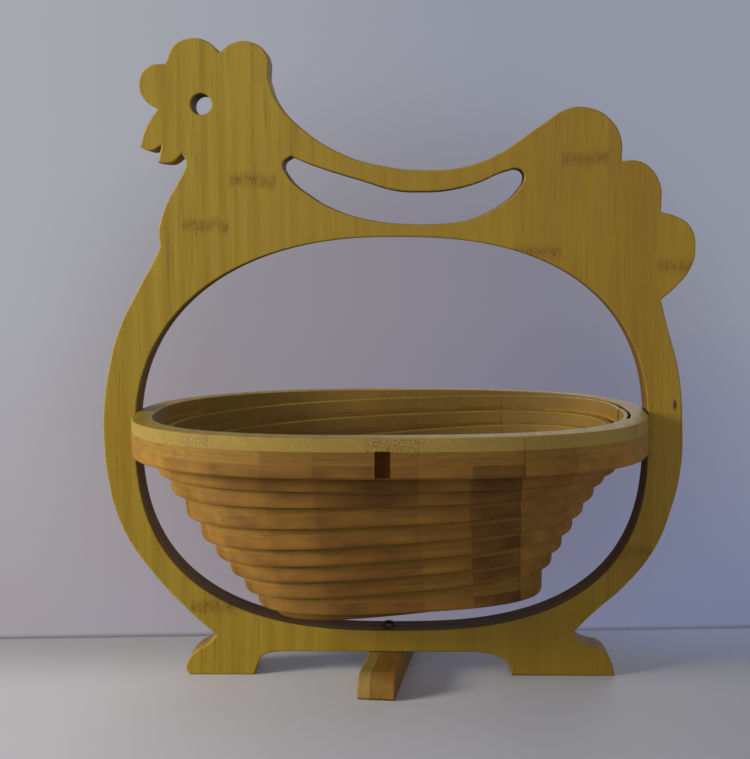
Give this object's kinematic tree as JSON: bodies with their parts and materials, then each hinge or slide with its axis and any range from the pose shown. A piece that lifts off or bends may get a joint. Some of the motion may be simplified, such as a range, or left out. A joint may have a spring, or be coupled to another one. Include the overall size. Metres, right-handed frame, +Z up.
{
  "type": "collapsible wooden basket",
  "caption": "Hen-shaped laminated bamboo board on feet whose spiral-cut middle turns level on two pins and drops into an oval basket.",
  "frame": {"origin": "on the ground plane under the middle of the basket opening, on the cross foot's underside", "axes": "+Z up; X along the board, hen's head at -X; Y across the board, its light face at -Y"},
  "size_m": [0.2593, 0.1726, 0.281],
  "materials": {
    "board_bamboo": "lacquered bamboo, upright light strips",
    "basket_bamboo": "lacquered bamboo, light ply over two darker ones on the sawn edge",
    "pin_steel": "plain turned pin",
    "screw_steel": "plain pan-head screw"
  },
  "bodies": {
    "frame": {"frame_board": "board_bamboo", "left_pivot_pin": "pin_steel", "right_pivot_pin": "pin_steel", "foot_screw": "screw_steel"},
    "rim": {"basket_rim": "basket_bamboo"},
    "turn_1_back": {"spiral_turn_1_back": "basket_bamboo"},
    "turn_1_front": {"spiral_turn_1_front": "basket_bamboo"},
    "turn_2_back": {"spiral_turn_2_back": "basket_bamboo"},
    "turn_2_front": {"spiral_turn_2_front": "basket_bamboo"},
    "turn_3_back": {"spiral_turn_3_back": "basket_bamboo"},
    "turn_3_front": {"spiral_turn_3_front": "basket_bamboo"},
    "turn_4_back": {"spiral_turn_4_back": "basket_bamboo"},
    "turn_4_front": {"spiral_turn_4_front": "basket_bamboo"},
    "turn_5_back": {"spiral_turn_5_back": "basket_bamboo"},
    "turn_5_front": {"spiral_turn_5_front": "basket_bamboo"},
    "turn_6_back": {"spiral_turn_6_back": "basket_bamboo"},
    "turn_6_front": {"spiral_turn_6_front": "basket_bamboo"},
    "turn_7_back": {"spiral_turn_7_back": "basket_bamboo"},
    "turn_7_front": {"spiral_turn_7_front": "basket_bamboo"},
    "turn_8_back": {"spiral_turn_8_back": "basket_bamboo"},
    "turn_8_front": {"spiral_turn_8_front": "basket_bamboo"},
    "floor": {"basket_floor": "basket_bamboo"},
    "cross_foot": {"cross_foot": "board_bamboo"}
  },
  "joints": [
    {"name": "rim_pivot", "type": "hinge", "parent": "frame", "child": "rim", "pos_m": [0, 0, 0.1114], "axis": [1, 0, 0], "range_deg": [0, 90]},
    {"name": "turn_1_back_bend", "type": "hinge", "parent": "rim", "child": "turn_1_back", "pos_m": [0.10118, -0.0034, 0.1033], "axis": [0, 1, 0], "range_deg": [0, 2.13]},
    {"name": "turn_1_front_bend", "type": "hinge", "parent": "turn_1_back", "child": "turn_1_front", "pos_m": [-0.10007, -0.0034, 0.11203], "axis": [0, -1, 0], "range_deg": [0, 1.87]},
    {"name": "turn_2_back_bend", "type": "hinge", "parent": "turn_1_front", "child": "turn_2_back", "pos_m": [0.09677, -0.0034, 0.09956], "axis": [0, 1, 0], "range_deg": [0, 2.62]},
    {"name": "turn_2_front_bend", "type": "hinge", "parent": "turn_2_back", "child": "turn_2_front", "pos_m": [-0.09465, -0.0034, 0.10046], "axis": [0, -1, 0], "range_deg": [0, 1.49]},
    {"name": "turn_3_back_bend", "type": "hinge", "parent": "turn_2_front", "child": "turn_3_back", "pos_m": [0.09177, -0.0034, 0.09732], "axis": [0, 1, 0], "range_deg": [0, 3.47]},
    {"name": "turn_3_front_bend", "type": "hinge", "parent": "turn_3_back", "child": "turn_3_front", "pos_m": [-0.08862, -0.0034, 0.08681], "axis": [0, -1, 0], "range_deg": [0, 2.15]},
    {"name": "turn_4_back_bend", "type": "hinge", "parent": "turn_3_front", "child": "turn_4_back", "pos_m": [0.08721, -0.0034, 0.0899], "axis": [0, 1, 0], "range_deg": [0, 3.58]},
    {"name": "turn_4_front_bend", "type": "hinge", "parent": "turn_4_back", "child": "turn_4_front", "pos_m": [-0.08252, -0.0034, 0.07685], "axis": [0, -1, 0], "range_deg": [0, 2.32]},
    {"name": "turn_5_back_bend", "type": "hinge", "parent": "turn_4_front", "child": "turn_5_back", "pos_m": [0.0829, -0.0034, 0.08065], "axis": [0, 1, 0], "range_deg": [0, 3.11]},
    {"name": "turn_5_front_bend", "type": "hinge", "parent": "turn_5_back", "child": "turn_5_front", "pos_m": [-0.07671, -0.0034, 0.07058], "axis": [0, -1, 0], "range_deg": [0, 2.7]},
    {"name": "turn_6_back_bend", "type": "hinge", "parent": "turn_5_front", "child": "turn_6_back", "pos_m": [0.0783, -0.0034, 0.07355], "axis": [0, 1, 0], "range_deg": [0, 3.15]},
    {"name": "turn_6_front_bend", "type": "hinge", "parent": "turn_6_back", "child": "turn_6_front", "pos_m": [-0.07061, -0.0034, 0.06201], "axis": [0, -1, 0], "range_deg": [0, 3.03]},
    {"name": "turn_7_back_bend", "type": "hinge", "parent": "turn_6_front", "child": "turn_7_back", "pos_m": [0.07381, -0.0034, 0.06607], "axis": [0, 1, 0], "range_deg": [0, 3.57]},
    {"name": "turn_7_front_bend", "type": "hinge", "parent": "turn_7_back", "child": "turn_7_front", "pos_m": [-0.06436, -0.0034, 0.05301], "axis": [0, -1, 0], "range_deg": [0, 3.03]},
    {"name": "turn_8_back_bend", "type": "hinge", "parent": "turn_7_front", "child": "turn_8_back", "pos_m": [0.0694, -0.0034, 0.05913], "axis": [0, 1, 0], "range_deg": [0, 3.36]},
    {"name": "turn_8_front_bend", "type": "hinge", "parent": "turn_8_back", "child": "turn_8_front", "pos_m": [-0.05807, -0.0034, 0.04521], "axis": [0, -1, 0], "range_deg": [0, 5.81]},
    {"name": "floor_bend", "type": "hinge", "parent": "turn_8_front", "child": "floor", "pos_m": [0.0652, -0.0034, 0.04837], "axis": [0, 1, 0], "range_deg": [0, 3.03]},
    {"name": "cross_foot_swivel", "type": "hinge", "parent": "frame", "child": "cross_foot", "pos_m": [-0.0012, 0, 0.00535], "axis": [0, 0, 1], "range_deg": [0, 96.5]}
  ],
  "couplings": [
    {"joint": "turn_1_front_bend", "follows": "turn_1_back_bend", "ratio": 0.8776},
    {"joint": "turn_2_back_bend", "follows": "turn_1_back_bend", "ratio": 1.2327},
    {"joint": "turn_2_front_bend", "follows": "turn_1_back_bend", "ratio": 0.6976},
    {"joint": "turn_3_back_bend", "follows": "turn_1_back_bend", "ratio": 1.6323},
    {"joint": "turn_3_front_bend", "follows": "turn_1_back_bend", "ratio": 1.0105},
    {"joint": "turn_4_back_bend", "follows": "turn_1_back_bend", "ratio": 1.6829},
    {"joint": "turn_4_front_bend", "follows": "turn_1_back_bend", "ratio": 1.0914},
    {"joint": "turn_5_back_bend", "follows": "turn_1_back_bend", "ratio": 1.4623},
    {"joint": "turn_5_front_bend", "follows": "turn_1_back_bend", "ratio": 1.2706},
    {"joint": "turn_6_back_bend", "follows": "turn_1_back_bend", "ratio": 1.4783},
    {"joint": "turn_6_front_bend", "follows": "turn_1_back_bend", "ratio": 1.4256},
    {"joint": "turn_7_back_bend", "follows": "turn_1_back_bend", "ratio": 1.6793},
    {"joint": "turn_7_front_bend", "follows": "turn_1_back_bend", "ratio": 1.4233},
    {"joint": "turn_8_back_bend", "follows": "turn_1_back_bend", "ratio": 1.5775},
    {"joint": "turn_8_front_bend", "follows": "turn_1_back_bend", "ratio": 2.7273},
    {"joint": "floor_bend", "follows": "turn_1_back_bend", "ratio": 1.4242}
  ]
}
